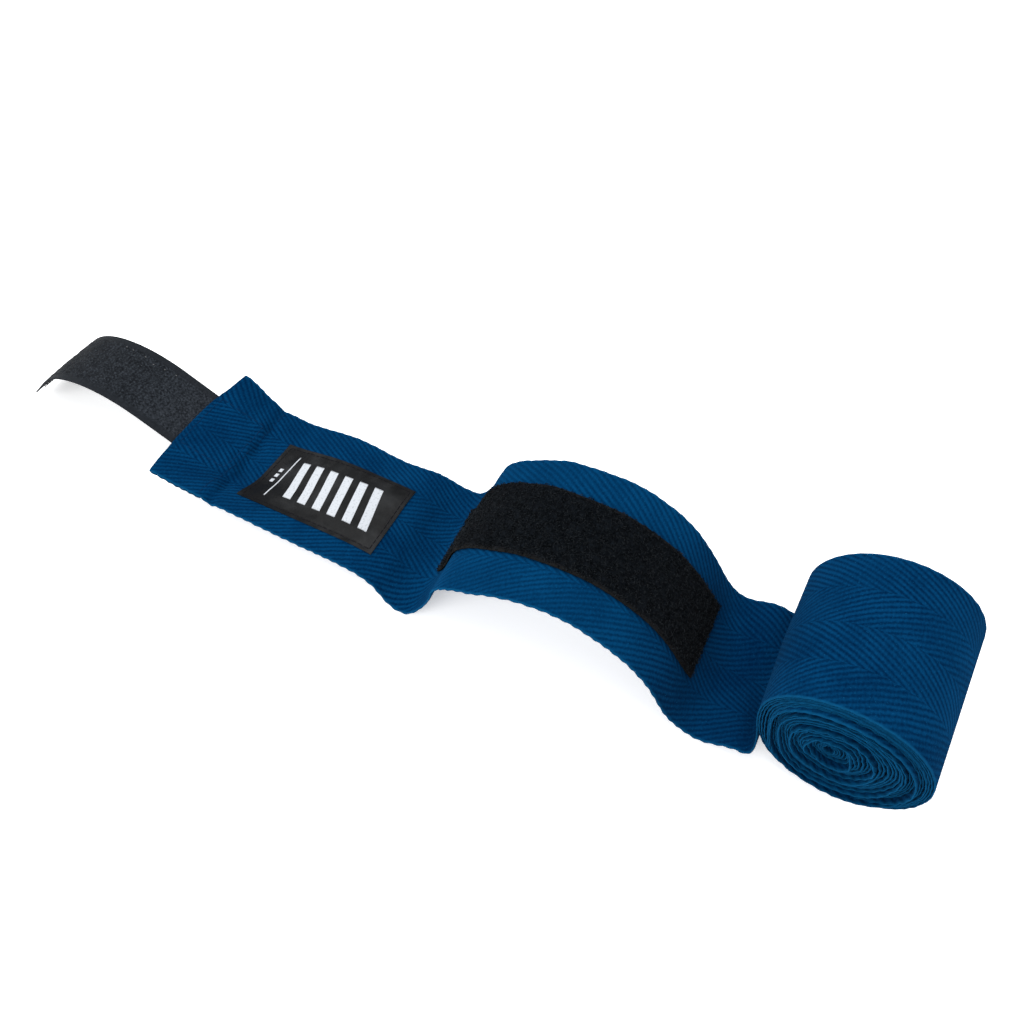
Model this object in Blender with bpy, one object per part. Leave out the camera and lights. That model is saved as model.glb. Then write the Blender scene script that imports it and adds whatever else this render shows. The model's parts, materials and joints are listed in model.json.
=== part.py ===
"""Elastic hand wrap, partly unrolled.

The tape comes off its roll, lies on the ground, rises over an arch that carries the loop patch,
touches the ground again, and ends in a label panel, a folded hem and a hook strap.
Cloth is split into rigid panels where it bends, and every panel hangs on the one before it.

+X runs along the tape from the strap to the roll, +Y across the tape, +Z up.
The origin is the bottom centre of the whole object's bounding box.
"""
import math

import bmesh
import bpy
from mathutils import Matrix, Vector

MM = 0.001

# Tape
TAPE_WIDTH = 50 * MM
TAPE_THICKNESS = 0.6 * MM
TAPE_LENGTH = 3050 * MM          # the whole tape, laid flat
LAYER_GAP = 0.3 * MM             # clearance between two layers of cloth
HINGE_GAP = 1.0 * MM             # clearance between two panels across a bend line

# Roll
ROLL_RADIUS = 23.4 * MM
CORE_RADIUS = 5.3 * MM
ROLL_YAW = math.radians(-5)      # the roll lies slightly askew to the open tape
ROLL_OFFSET_Y = 3.0 * MM
TURN_SEGMENTS = 18
ROLL_START_ANGLE = math.radians(200)
TURN_UP_START_X = -25.0 * MM     # where the tape leaves the ground to climb onto the roll
TURN_UP_LENGTH = 20 * MM         # along the cloth, from there to the roll
TURN_UP_SEGMENTS = 7
TURN_UP_FULLNESS = 13 * MM

# Panels of open tape, from the roll outwards: length, and rise above the ground in degrees
LEAD = (13.5 * MM, 0.0)
LEG_RIGHT = (26.8 * MM, 53.8)
SHOULDER_RIGHT = (21.6 * MM, 30.8)
CROWN = (24.0 * MM, 3.0)
SHOULDER_LEFT = (22.4 * MM, -25.7)
LEG_LEFT_RISE = -65.0            # its length brings the tape back down to the ground
VALLEY = (10.0 * MM, 0.0)
RAMP = (10.4 * MM, 24.0)         # first stretch of the label panel
LABEL_PANEL = (58.5 * MM, -4.0)
HEM = (30.5 * MM, 16.5)

# Folded hem and the strap sewn under it
FOLD_INNER_RADIUS = LAYER_GAP / 2
FOLD_SEGMENTS = 4
FOLD_UNDER_LENGTH = 22 * MM
STRAP_SEWN_LENGTH = 20 * MM
STRAP_WIDTH = 26 * MM
STRAP_THICKNESS = 0.9 * MM
STRAP_OFFSET_Y = 2 * MM
STRAP_CLEARANCE = 1.0 * MM       # from the fold to the strap's bend line
STRAP_ROOT = (30.0 * MM, 30.0)
STRAP_MIDDLE = (26.0 * MM, -4.0)
STRAP_TIP = (25.9 * MM, -41.0)

# Loop patch, label and stitches
PATCH_THICKNESS = 1.2 * MM
PATCH_END_MARGIN = 2.5 * MM
LABEL_LENGTH = 55 * MM
LABEL_WIDTH = 29.5 * MM
LABEL_THICKNESS = 0.5 * MM
LABEL_OFFSET_Y = -1.5 * MM
LABEL_END_MARGIN = 1.8 * MM
STITCH_WIDTH = 0.6 * MM
STITCH_THICKNESS = 0.3 * MM
STITCH_INSET = 1.5 * MM
HEM_SEAM_MARGIN = 1.5 * MM       # from the folded-under edge, and from the tape's edges

# Thumb loop, folded flat and rolled up in the core
LOOP_WIDTH = 12 * MM
LOOP_THICKNESS = 0.6 * MM
LOOP_OUTER_RADIUS = 4.1 * MM
LOOP_PITCH = 1.9 * MM
LOOP_TURNS = 1.4
LOOP_SEGMENTS = 26
LOOP_END_SEGMENTS = 4

ACROSS = Vector((0, 1, 0))


def clear_scene():
    for item in list(bpy.data.objects):
        bpy.data.objects.remove(item, do_unlink=True)


def make_material(name, colour, roughness):
    material = bpy.data.materials.new(name)
    material.use_nodes = True
    shader = material.node_tree.nodes["Principled BSDF"]
    shader.inputs["Base Color"].default_value = (*colour, 1)
    shader.inputs["Roughness"].default_value = roughness
    shader.inputs["Metallic"].default_value = 0
    return material


def add_mesh(name, mesh_builder, material, parent):
    mesh_data = bpy.data.meshes.new(name)
    bmesh.ops.recalc_face_normals(mesh_builder, faces=mesh_builder.faces)
    mesh_builder.to_mesh(mesh_data)
    mesh_builder.free()
    mesh_data.materials.append(material)
    item = bpy.data.objects.new(name, mesh_data)
    item.parent = parent
    bpy.context.collection.objects.link(item)
    return item


def add_empty(name, parent=None, location=(0, 0, 0)):
    empty = bpy.data.objects.new(name, None)
    empty.parent = parent
    empty.location = location
    bpy.context.collection.objects.link(empty)
    return empty


def band(name, centres, rulings, width, thickness, material, parent, closed=False):
    """A band of cloth of constant thickness that follows centre points, with a ruling across each."""
    builder = bmesh.new()
    count = len(centres)
    rings = []
    for index, (centre, ruling) in enumerate(zip(centres, rulings)):
        before = centres[index - 1] if index or closed else None
        after = centres[(index + 1) % count] if index < count - 1 or closed else None
        arriving = (centre - before).normalized() if before is not None else None
        leaving = (after - centre).normalized() if after is not None else None
        arriving = arriving or leaving
        leaving = leaving or arriving
        along = (arriving + leaving).normalized()
        offset = ruling.cross(along).normalized() * (thickness / 2) / along.dot(leaving)
        side = ruling * (width / 2)
        corners = (centre + side + offset, centre - side + offset,
                   centre - side - offset, centre + side - offset)
        rings.append([builder.verts.new(corner) for corner in corners])
    steps = count if closed else count - 1
    for index in range(steps):
        here, there = rings[index], rings[(index + 1) % count]
        for corner in range(4):
            following = (corner + 1) % 4
            builder.faces.new((here[corner], here[following], there[following], there[corner]))
    if not closed:
        builder.faces.new(rings[0])
        builder.faces.new(rings[-1])
    return add_mesh(name, builder, material, parent)


def panel_band(name, points, material, parent, width=TAPE_WIDTH, thickness=TAPE_THICKNESS,
               offset_y=0.0):
    """A band in a panel's own frame: points are (distance outwards, height) pairs."""
    centres = [Vector((-out, offset_y, up)) for out, up in points]
    return band(name, centres, [ACROSS] * len(centres), width, thickness, material, parent)


def straight(start, end, height=0.0):
    return [(start, height), (end, height)]


def stitch_row(name, points, width, offset_y, material, parent):
    """A straight run of stitches; its points are the middle of its lower face, then its rise."""
    lifted = [(out, up + STITCH_THICKNESS / 2) for out, up in points]
    panel_band(name, lifted, material, parent, width, STITCH_THICKNESS, offset_y)


def stitch_frame(name, start, end, width, height, offset_y, material, parent):
    """A rectangular run of stitches, lying flat at the given height above a panel."""
    builder = bmesh.new()
    rings = []
    for inset in (0, STITCH_WIDTH):
        for up in (height, height + STITCH_THICKNESS):
            far, near = offset_y + width / 2 - inset, offset_y - width / 2 + inset
            near_end, far_end = -(start + inset), -(end - inset)
            outline = ((near_end, near), (near_end, far), (far_end, far), (far_end, near))
            rings.append([builder.verts.new((x, y, up)) for x, y in outline])
    outer_low, outer_high, inner_low, inner_high = rings
    walls = ((outer_low, outer_high), (outer_high, inner_high),
             (inner_high, inner_low), (inner_low, outer_low))
    for lower, upper in walls:
        for corner in range(4):
            following = (corner + 1) % 4
            builder.faces.new((lower[corner], lower[following], upper[following], upper[corner]))
    return add_mesh(name, builder, material, parent)


def add_hinge(name, parent, length_before, rise_before, rise, lift=0.0):
    """The next bend line: an empty whose -X axis points outwards along the next panel."""
    hinge = add_empty(name, parent, (-length_before, 0, lift))
    hinge.rotation_euler.y = math.radians(rise - rise_before)
    return hinge


def open_length():
    """Tape between the roll and the hem's raw end, measured along the cloth."""
    panels = (LEAD, LEG_RIGHT, SHOULDER_RIGHT, CROWN, SHOULDER_LEFT, leg_left(),
              VALLEY, RAMP, LABEL_PANEL, HEM)
    return sum(length for length, rise in panels) + FOLD_UNDER_LENGTH + TURN_UP_LENGTH


def leg_left():
    """The arch's last panel, long enough to bring the tape down to the ground again."""
    climbing = (LEG_RIGHT, SHOULDER_RIGHT, CROWN, SHOULDER_LEFT)
    height = sum(length * math.sin(math.radians(rise)) for length, rise in climbing)
    return height / math.sin(math.radians(-LEG_LEFT_RISE)), LEG_LEFT_RISE


def winding_pitch():
    """Radial growth for each turn, from the area that the rolled tape fills."""
    rolled = TAPE_LENGTH - open_length()
    return math.pi * (ROLL_RADIUS ** 2 - CORE_RADIUS ** 2) / rolled


def roll_centre():
    """The roll's axis stands at the height that puts its lowest facet on the ground."""
    turned = (ROLL_START_ANGLE + math.pi / 2) / (2 * math.pi)
    facet = math.cos(math.pi / TURN_SEGMENTS)
    return Vector((0, ROLL_OFFSET_Y, (ROLL_RADIUS - winding_pitch() * turned) * facet))


def build_roll(cloth, webbing, origin):
    pitch = winding_pitch()
    centre = roll_centre()
    axis = add_empty("roll_axis", origin, centre)
    axis.rotation_euler.z = ROLL_YAW
    to_roll = Matrix.Rotation(-ROLL_YAW, 4, "Z")

    # the spiral, wound clockwise as seen from the near side, from its outer end to the core
    thickness = pitch - LAYER_GAP * 2 / 3
    first = ROLL_RADIUS - thickness / 2
    turns = (ROLL_RADIUS - CORE_RADIUS) / pitch
    spiral = []
    for step in range(int(turns * TURN_SEGMENTS) + 1):
        turned = step / TURN_SEGMENTS
        angle = ROLL_START_ANGLE - 2 * math.pi * turned
        radius = first - pitch * turned
        spiral.append(Vector((radius * math.cos(angle), 0, radius * math.sin(angle))))

    # the stretch that climbs from the ground onto the roll and turns to the roll's own direction
    ground_end = Vector((TURN_UP_START_X + HINGE_GAP / 2, 0, TAPE_THICKNESS / 2))
    start = to_roll @ (ground_end - centre)
    start_direction = to_roll @ Vector((1, 0, 0))
    end_direction = Vector((math.sin(ROLL_START_ANGLE), 0, -math.cos(ROLL_START_ANGLE)))
    climb, climb_rulings = [], []
    for step in range(TURN_UP_SEGMENTS):
        t = step / TURN_UP_SEGMENTS
        climb.append(start * (1 - t) ** 2 * (1 + 2 * t) + spiral[0] * t ** 2 * (3 - 2 * t)
                     + start_direction * TURN_UP_FULLNESS * t * (1 - t) ** 2
                     - end_direction * TURN_UP_FULLNESS * t ** 2 * (1 - t))
        climb_rulings.append(Matrix.Rotation(-ROLL_YAW * (1 - t), 4, "Z") @ ACROSS)

    centres = (climb + spiral)[::-1]
    rulings = (climb_rulings + [ACROSS] * len(spiral))[::-1]
    band("tape_roll", centres, rulings, TAPE_WIDTH, thickness, cloth, axis)
    build_thumb_loop(webbing, axis)


def build_thumb_loop(webbing, axis):
    """A closed loop of webbing, pressed flat into a double band and rolled up inside the core."""
    apart = (LOOP_THICKNESS + LAYER_GAP) / 2

    def folded(turned, side):
        angle = -2 * math.pi * turned
        radius = LOOP_OUTER_RADIUS - LOOP_PITCH * turned + side
        return Vector((radius * math.cos(angle), 0, radius * math.sin(angle)))

    def end_cap(turned, outwards):
        middle = folded(turned, 0)
        along = (folded(turned + outwards * 0.01, 0) - middle).normalized()
        radial = middle.normalized()
        sweep = [math.pi * step / LOOP_END_SEGMENTS for step in range(1, LOOP_END_SEGMENTS)]
        return [middle + (radial * math.cos(angle) * outwards + along * math.sin(angle)) * apart
                for angle in sweep]

    steps = [LOOP_TURNS * step / LOOP_SEGMENTS for step in range(LOOP_SEGMENTS + 1)]
    path = [folded(turned, apart) for turned in steps]
    path += end_cap(LOOP_TURNS, 1)
    path += [folded(turned, -apart) for turned in reversed(steps)]
    path += end_cap(0, -1)
    band("thumb_loop", path, [ACROSS] * len(path), LOOP_WIDTH, LOOP_THICKNESS, webbing, axis,
         closed=True)


def build_arch(cloth, pile, thread, lead):
    """Five panels over the arch, each with its stretch of the loop patch and a seam along each edge."""
    panels = (("leg_right", LEG_RIGHT), ("shoulder_right", SHOULDER_RIGHT), ("crown", CROWN),
              ("shoulder_left", SHOULDER_LEFT), ("leg_left", leg_left()))
    patch_height = TAPE_THICKNESS / 2 + LAYER_GAP + PATCH_THICKNESS / 2
    seam_height = TAPE_THICKNESS / 2 + LAYER_GAP
    seam_reach = STRAP_WIDTH / 2 + LAYER_GAP + STITCH_WIDTH / 2
    hinge, (length_before, rise_before) = lead, LEAD
    for name, (length, rise) in panels:
        hinge = add_hinge(name + "_hinge", hinge, length_before, rise_before, rise)
        panel_band("tape_" + name, straight(HINGE_GAP / 2, length - HINGE_GAP / 2), cloth, hinge)
        patch_start = PATCH_END_MARGIN if name == "leg_right" else HINGE_GAP / 2
        patch_end = length - (PATCH_END_MARGIN if name == "leg_left" else HINGE_GAP / 2)
        panel_band("loop_patch_" + name, straight(patch_start, patch_end, patch_height), pile,
                   hinge, STRAP_WIDTH, PATCH_THICKNESS, STRAP_OFFSET_Y)
        for edge, reach in (("near", -seam_reach), ("far", seam_reach)):
            stitch_row("patch_seam_" + edge + "_" + name,
                       straight(patch_start + STITCH_WIDTH, patch_end - STITCH_WIDTH, seam_height),
                       STITCH_WIDTH, STRAP_OFFSET_Y + reach, thread, hinge)
        length_before, rise_before = length, rise
    return hinge


def build_label_panel(cloth, satin, thread, valley):
    """A short ramp up from the ground and the flat stretch that carries the sewn label."""
    ramp_length, ramp_rise = RAMP
    flat_length, flat_rise = LABEL_PANEL
    bend = math.radians(ramp_rise - flat_rise)
    hinge = add_hinge("label_panel_hinge", valley, VALLEY[0], VALLEY[1], flat_rise)
    top = Vector((ramp_length * math.cos(bend), ramp_length * math.sin(bend)))
    start = top.normalized() * HINGE_GAP / 2
    end = top.x + flat_length
    panel_band("tape_label_panel", [tuple(start), tuple(top), (end - HINGE_GAP / 2, top.y)],
               cloth, hinge)

    label_end = end - LABEL_END_MARGIN
    label_start = label_end - LABEL_LENGTH
    label_height = top.y + TAPE_THICKNESS / 2 + LAYER_GAP + LABEL_THICKNESS / 2
    panel_band("size_label", straight(label_start, label_end, label_height), satin, hinge,
               LABEL_WIDTH, LABEL_THICKNESS, LABEL_OFFSET_Y)
    stitch_height = label_height + LABEL_THICKNESS / 2 + LAYER_GAP
    stitch_frame("label_stitching", label_start + STITCH_INSET, label_end - STITCH_INSET,
                 LABEL_WIDTH - 2 * STITCH_INSET, stitch_height, LABEL_OFFSET_Y, thread, hinge)
    return hinge, end, top.y, flat_rise


def build_hem(cloth, hook_tape, thread, label_panel):
    """The tape's end, folded under, with the strap's tail sewn below the fold."""
    panel, length_before, lift, rise_before = label_panel
    length, rise = HEM
    hinge = add_hinge("hem_hinge", panel, length_before, rise_before, rise, lift)
    fold_radius = FOLD_INNER_RADIUS + TAPE_THICKNESS / 2
    fold_centre = length - fold_radius
    points = [(HINGE_GAP / 2, 0.0)]
    for step in range(FOLD_SEGMENTS + 1):
        angle = math.pi * step / FOLD_SEGMENTS
        points.append((fold_centre + fold_radius * math.sin(angle),
                       fold_radius * (math.cos(angle) - 1)))
    points.append((length - FOLD_UNDER_LENGTH, -2 * fold_radius))
    panel_band("tape_hem", points, cloth, hinge)

    strap_height = -(2 * fold_radius + TAPE_THICKNESS / 2 + LAYER_GAP + STRAP_THICKNESS / 2)
    strap_bend = length + STRAP_CLEARANCE
    panel_band("hook_strap_sewn_end",
               straight(length - STRAP_SEWN_LENGTH, strap_bend - HINGE_GAP / 2, strap_height),
               hook_tape, hinge, STRAP_WIDTH, STRAP_THICKNESS, STRAP_OFFSET_Y)
    stitch_frame("strap_box_stitching", length - STRAP_SEWN_LENGTH + STITCH_INSET,
                 length - STITCH_INSET, STRAP_WIDTH - 2 * STITCH_INSET,
                 TAPE_THICKNESS / 2 + LAYER_GAP, STRAP_OFFSET_Y, thread, hinge)
    seam = length - FOLD_UNDER_LENGTH + HEM_SEAM_MARGIN - STITCH_WIDTH
    stitch_row("hem_seam", straight(seam, seam + STITCH_WIDTH, TAPE_THICKNESS / 2 + LAYER_GAP),
               TAPE_WIDTH - 2 * HEM_SEAM_MARGIN, 0.0, thread, hinge)
    return hinge, strap_bend, strap_height


def build_strap(hook_tape, hem):
    """The free strap in three panels: it rises, levels out and drops to its tip."""
    hinge, length_before, lift = hem
    rise_before = HEM[1]
    panels = (("root", STRAP_ROOT), ("middle", STRAP_MIDDLE), ("tip", STRAP_TIP))
    for name, (length, rise) in panels:
        hinge = add_hinge("hook_strap_" + name + "_hinge", hinge, length_before, rise_before,
                          rise, lift)
        trim = 0 if name == "tip" else HINGE_GAP / 2
        panel_band("hook_strap_" + name, straight(HINGE_GAP / 2, length - trim), hook_tape,
                   hinge, STRAP_WIDTH, STRAP_THICKNESS, STRAP_OFFSET_Y)
        length_before, rise_before, lift = length, rise, 0.0


def centre_on_origin(origin):
    """Move the whole object so that the origin is its bounding box's bottom centre."""
    bpy.context.view_layer.update()
    corners = [item.matrix_world @ vertex.co for item in bpy.data.objects
               if item.type == "MESH" for vertex in item.data.vertices]
    low = Vector(min(corner[axis] for corner in corners) for axis in range(3))
    high = Vector(max(corner[axis] for corner in corners) for axis in range(3))
    middle = (low + high) / 2
    origin.location = (-middle.x, -middle.y, -low.z)


def main():
    clear_scene()
    cloth = make_material("blue_elastic_tape", (0.003, 0.035, 0.12), 0.85)
    pile = make_material("black_loop_pile", (0.006, 0.006, 0.007), 0.95)
    hook_tape = make_material("black_hook_tape", (0.020, 0.021, 0.023), 0.6)
    satin = make_material("black_satin", (0.010, 0.010, 0.011), 0.35)
    thread = make_material("black_thread", (0.008, 0.008, 0.009), 0.8)
    blue_thread = make_material("blue_thread", (0.003, 0.03, 0.10), 0.8)
    webbing = make_material("blue_webbing", (0.003, 0.03, 0.10), 0.85)

    origin = add_empty("wrap_origin")
    build_roll(cloth, webbing, origin)
    lead = add_empty("lead_hinge", origin, (TURN_UP_START_X, 0, TAPE_THICKNESS / 2))
    panel_band("tape_lead", straight(HINGE_GAP / 2, LEAD[0] - HINGE_GAP / 2), cloth, lead)
    leg = build_arch(cloth, pile, thread, lead)
    valley = add_hinge("valley_hinge", leg, leg_left()[0], LEG_LEFT_RISE, VALLEY[1])
    panel_band("tape_valley", straight(HINGE_GAP / 2, VALLEY[0] - HINGE_GAP / 2), cloth, valley)
    label_panel = build_label_panel(cloth, satin, thread, valley)
    hem = build_hem(cloth, hook_tape, blue_thread, label_panel)
    build_strap(hook_tape, hem)
    centre_on_origin(origin)


main()
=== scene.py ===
"""Looks of the elastic hand wrap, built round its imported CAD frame.

Every layer of cloth is laid out in cloth coordinates, in millimetres:
  v  along the tape: 0 at the lead's bend line, positive out to the hem, negative into the roll
  u  across the tape, positive towards +Y
  h  height above the tape's middle surface, on the side that shows the label
"""
import json
import math
from functools import partialmethod

import bpy
import numpy as np
from mathutils import Matrix, Vector


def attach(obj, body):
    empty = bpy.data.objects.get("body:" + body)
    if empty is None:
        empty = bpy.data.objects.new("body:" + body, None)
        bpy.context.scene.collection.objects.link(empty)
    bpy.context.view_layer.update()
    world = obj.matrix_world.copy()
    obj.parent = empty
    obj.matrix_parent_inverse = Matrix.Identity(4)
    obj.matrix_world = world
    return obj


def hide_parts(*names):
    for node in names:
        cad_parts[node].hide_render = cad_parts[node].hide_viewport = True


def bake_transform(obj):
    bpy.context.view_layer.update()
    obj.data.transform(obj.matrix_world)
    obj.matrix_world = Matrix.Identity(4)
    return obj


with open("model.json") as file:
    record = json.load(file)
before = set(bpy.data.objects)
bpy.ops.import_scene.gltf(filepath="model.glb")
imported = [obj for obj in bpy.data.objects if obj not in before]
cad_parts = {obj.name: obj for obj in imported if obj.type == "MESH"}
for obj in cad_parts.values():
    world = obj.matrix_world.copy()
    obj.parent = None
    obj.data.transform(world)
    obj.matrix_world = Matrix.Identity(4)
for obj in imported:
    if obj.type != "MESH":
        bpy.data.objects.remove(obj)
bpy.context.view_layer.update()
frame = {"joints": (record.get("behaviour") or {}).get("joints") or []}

pivot = {joint["name"]: 1000 * np.array(joint["pos_m"]) for joint in frame["joints"]}
random = np.random.default_rng(7)

X, Y, Z = np.eye(3)
TAPE_WIDTH = 50.0
TAPE_THICKNESS = 0.6
ROLL_CENTRE = np.array([141.77, 0.529, 22.595])
ROLL_YAW = math.radians(-5)
ROLL_ACROSS = np.array([math.cos(ROLL_YAW), math.sin(ROLL_YAW), 0])
ROLL_AXIS = np.array([-math.sin(ROLL_YAW), math.cos(ROLL_YAW), 0])
ROLL_RADIUS = 23.4
CORE_RADIUS = 5.3
ROLL_START = math.radians(200)
WINDING_PITCH = 0.5905
WOUND_THICKNESS = 0.53
CLIMB_START = 2.5             # from the lead's bend line towards the roll
CLIMB_LENGTH = 20.0
CLIMB_FULLNESS = 14.5
CORE_SHIFT = (-2.4, -0.6)     # the core lies this far off the roll's axis, across and up
CLOSING = (18.0, 5.2)         # radii between which the roll's ends close in on the core
END_ZONE = (7, 19)            # from the roll's middle, where its ends begin to close
LIFT_ZONE = (23.9, 28.6)      # where the lead bends, measured from under the roll's axis
SCALLOP = 0.15                # the selvage's waves, in the cloth's own plane
SCALLOP_PERIOD = 3.5
STRAP_WIDTH = 26.0
STRAP_OFFSET = 2.0
LABEL_LENGTH = 55.0
LABEL_WIDTH = 29.5
LABEL_OFFSET = -1.9
LABEL_GAP = 0.4               # between the label and the hem's bend line
HEM_LENGTH = 30.5
HEM_RISE = math.radians(16.5)
FOLD_UNDER = 22.0
FOLD_RADIUS = 0.45
FOLD_ARC = 1.4                # length of cloth in the fold itself
ROLL_TAPER = 2.4              # how much further left the roll's far end reaches than its middle
TAIL_DEPTH = 1.75             # of the strap's tail below the hem's upper layer
TIP_LENGTH = 26.8             # of the strap past its last bend line
TIP_DROP = math.radians(43)


# ---- small tools

def smooth(value, low, high):
    """0 below low, 1 above high, and smooth between them; low may be above high."""
    t = np.clip((value - low) / (high - low), 0, 1)
    return t * t * (3 - 2 * t)


def bump_at(value, middle, reach):
    """1 at the middle, and fading out either side of it."""
    return np.exp(-((value - middle) / reach) ** 2)


def unit(vectors):
    return vectors / np.linalg.norm(vectors, axis=-1)[..., None]


def cell_noise(x, y, cell, seed):
    """Smooth noise from -1 to 1 with one random value in each square cell."""
    table = np.random.default_rng(seed).uniform(-1, 1, (64, 64))
    x, y = x / cell, y / cell
    i, j = np.floor(x).astype(int), np.floor(y).astype(int)
    s, t = x - i, y - j
    s, t = s * s * (3 - 2 * s), t * t * (3 - 2 * t)
    value = table[i % 64, j % 64] * (1 - s) * (1 - t) + table[(i + 1) % 64, j % 64] * s * (1 - t)
    return value + (table[i % 64, (j + 1) % 64] * (1 - s)
                    + table[(i + 1) % 64, (j + 1) % 64] * s) * t


def spline(points):
    """A quadratic B-spline through the middles of the polygon's sides, and the index of each knot."""
    points = np.array(points, float)
    middles = (points[1:] + points[:-1]) / 2
    t = np.linspace(0, 1, 60, endpoint=False)[:, None]
    line = [points[0] + (middles[0] - points[0]) * t]
    for before, corner, after in zip(middles[:-1], points[1:-1], middles[1:]):
        line.append(before * (1 - t) ** 2 + corner * 2 * t * (1 - t) + after * t ** 2)
    line += [middles[-1] + (points[-1] - middles[-1]) * t, points[-1:]]
    return np.concatenate(line), len(t) * np.arange(1, len(points))


class Path:
    """A centreline with a ruling across it and a normal, sampled by the length along it."""

    def __init__(self, centres, rulings, first=0.0):
        self.centres, self.rulings = centres, rulings
        steps = np.linalg.norm(np.diff(centres, axis=0), axis=1)
        self.v = first + np.concatenate([[0], np.cumsum(steps)])
        self.tangents = np.gradient(centres, self.v, axis=0)
        self.normals = unit(np.cross(rulings, self.tangents))

    def sample(self, v):
        inside = np.clip(v, self.v[0], self.v[-1])
        centre, ruling, normal, tangent = (
            np.stack([np.interp(inside, self.v, table[:, k]) for k in range(3)], -1)
            for table in (self.centres, self.rulings, self.normals, self.tangents))
        return centre + tangent * (v - inside)[..., None], ruling, normal

    def strip(self, v, u, h=0.0):
        """The world point at v, u, h on a plain strip along the path."""
        v, u, h = np.broadcast_arrays(np.asarray(v, float), u, h)
        centre, ruling, normal = self.sample(v)
        return centre + ruling * u[..., None] + normal * h[..., None]


# ---- the tape's course

def bend_controls():
    """Control points that make the curve pass through the arch's four upper bend lines."""
    foot, valley = pivot["arch_flatten"], pivot["arch_valley"]
    through = [pivot[name] for name in ("arch_shoulder_right", "arch_crown",
                                        "arch_shoulder_left", "arch_leg_left")]
    matrix = np.diag([6.0] * 4) + np.diag([1.0] * 3, 1) + np.diag([1.0] * 3, -1)
    right = 8 * np.array(through)
    right[0] -= foot
    right[3] -= valley
    return [foot, *np.linalg.solve(matrix, right), valley]


def outwards(origin, distance, height):
    return origin + np.array([-distance, 0, height])


def open_controls():
    label, hem = pivot["label_panel_lift"], pivot["hem_lift"]
    hem_end = outwards(hem, HEM_LENGTH * math.cos(HEM_RISE), HEM_LENGTH * math.sin(HEM_RISE))
    return ([pivot["lead_lift"]] + bend_controls() + [label]
            + [outwards(label, 9.6, 4.7), outwards(label, 24.6, 6.1), outwards(label, 43.8, 4.7)]
            + [outwards(hem, -11.0, 1.9), outwards(hem, 0, 0.2), outwards(hem, 12.0, 2.7), hem_end])


def round_roll(centre, angle, radius):
    """Points round a line parallel to the roll's axis."""
    return (centre + ROLL_ACROSS * (radius * np.cos(angle))[:, None]
            + Z * (radius * np.sin(angle))[:, None])


def wound_centres():
    """From the lead's bend line up onto the roll, then round and round to the core."""
    lead = pivot["lead_lift"]
    start = lead + X * CLIMB_START
    turns = (ROLL_RADIUS - CORE_RADIUS) / WINDING_PITCH
    turned = np.linspace(0, turns, int(turns * 500))
    wound = round_roll(ROLL_CENTRE, ROLL_START - 2 * np.pi * turned,
                       ROLL_RADIUS - TAPE_THICKNESS / 2 - WINDING_PITCH * turned)
    up = unit(wound[1] - wound[0])
    t = np.linspace(0, 1, 120, endpoint=False)[:, None]
    climb = (start * (1 - t) ** 2 * (1 + 2 * t) + wound[0] * t ** 2 * (3 - 2 * t)
             + CLIMB_FULLNESS * (X * t * (1 - t) ** 2 - up * t ** 2 * (1 - t)))
    yaw = ROLL_YAW * smooth(t[:, 0], 0, 1)
    climb_rulings = np.stack([-np.sin(yaw), np.cos(yaw), 0 * yaw], -1)
    centres = np.concatenate([[lead], climb, wound])
    rulings = np.concatenate([[Y], climb_rulings, np.tile(ROLL_AXIS, (len(wound), 1))])
    return centres, rulings


open_line, open_knots = spline(open_controls())
wound_line, wound_rulings = wound_centres()
wound_length = np.linalg.norm(np.diff(wound_line, axis=0), axis=1).sum()
tape_path = Path(np.concatenate([wound_line[:0:-1], open_line]),
                 np.concatenate([wound_rulings[:0:-1], np.tile(Y, (len(open_line), 1))]),
                 first=-wound_length)
knot_v = tape_path.v[len(wound_line) - 1 + open_knots]
V_END = tape_path.v[-1]
V_CLIMBED = -CLIMB_START - CLIMB_LENGTH


def v_nearest(joint, path=tape_path):
    """Length along the open tape, or the strap, at which it passes closest to a joint."""
    unrolled = path.v >= 0
    gaps = np.linalg.norm(path.centres[unrolled] - pivot[joint], axis=1)
    return path.v[unrolled][np.argmin(gaps)]


V_FOOT = v_nearest("arch_flatten")
V_VALLEY = v_nearest("arch_valley")
V_LABEL_END = v_nearest("hem_lift") - LABEL_GAP
V_LABEL_START = V_LABEL_END - LABEL_LENGTH

# where one side of the open tape rises or sinks: the middle and reach along it, the side
# (-1 near, 1 far), where across it the rise starts, its height, and how far the edge spreads
EDGE_RISES = (
    (-2.0, 8.0, -1, 0.0, 5.6, 0.0),
    (1.0, 10.0, 1, 0.0, 6.5, 0.0),
    (23.0, 9.0, -1, 0.0, -2.0, 0.0),
    (27.0, 8.0, -1, 0.0, 0.9, 1.0),
    (68.0, 40.0, 1, 14.0, 1.8, 1.3),
    (95.0, 14.0, -1, 0.0, -0.9, 2.3),
    (110.0, 9.0, -1, -10.0, 0.0, 1.4),
    (114.0, 9.0, 1, 5.0, 2.4, 0.0),
    (131.0, 7.0, -1, 0.0, 0.5, 0.5),
    (140.0, 9.0, -1, 5.0, 0.0, 3.2),
    (168.0, 15.0, 1, 5.0, -4.4, 0.0),
    (212.0, 22.0, -1, 3.0, 6.2, 0.0),
)
# where its full width stands off the plain course: the middle and reach along it, and how far
COURSE_SHIFTS = ((45.0, 8.0, 0.25), (65.0, 6.0, 0.35), (88.5, 6.0, 0.75), (95.0, 18.0, -0.5))
# radii of the dark gaps in the roll's ends, and their depth
GROOVES = (8.9, 12.4, 16.3, 19.6)
GROOVE_DEPTH = 1.7


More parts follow.
